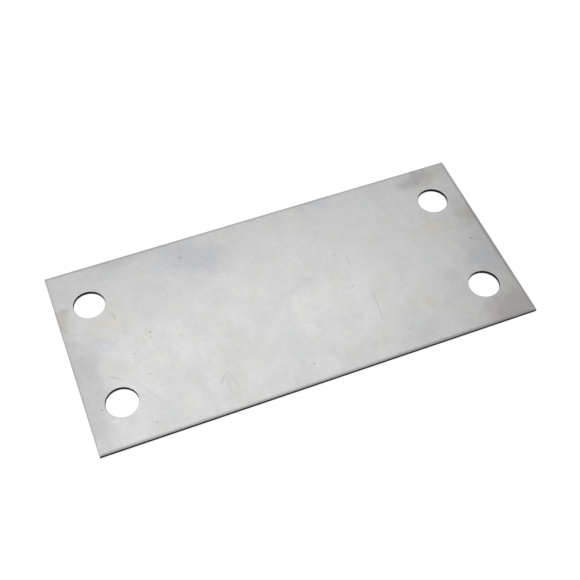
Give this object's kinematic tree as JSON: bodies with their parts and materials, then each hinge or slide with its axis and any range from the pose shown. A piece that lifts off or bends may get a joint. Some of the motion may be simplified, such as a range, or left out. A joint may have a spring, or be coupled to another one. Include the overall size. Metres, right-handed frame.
{
  "type": "rectangular cover plate",
  "caption": "Flat rectangular sheet-metal cover plate with a round screw hole near each corner, for closing or stiffening a flat opening.",
  "frame": {"origin": "middle of the lower face, which seats on what the plate covers", "axes": "+X along the length, +Y along the width, +Z out of the upper face, towards the screw heads"},
  "size_m": [0.127, 0.06, 0.001],
  "materials": {
    "steel_sheet": "bright cold-rolled mill finish, dull satin, faintly stained and scratched"
  },
  "bodies": {
    "root": {"cover_plate": "steel_sheet"}
  },
  "joints": []
}
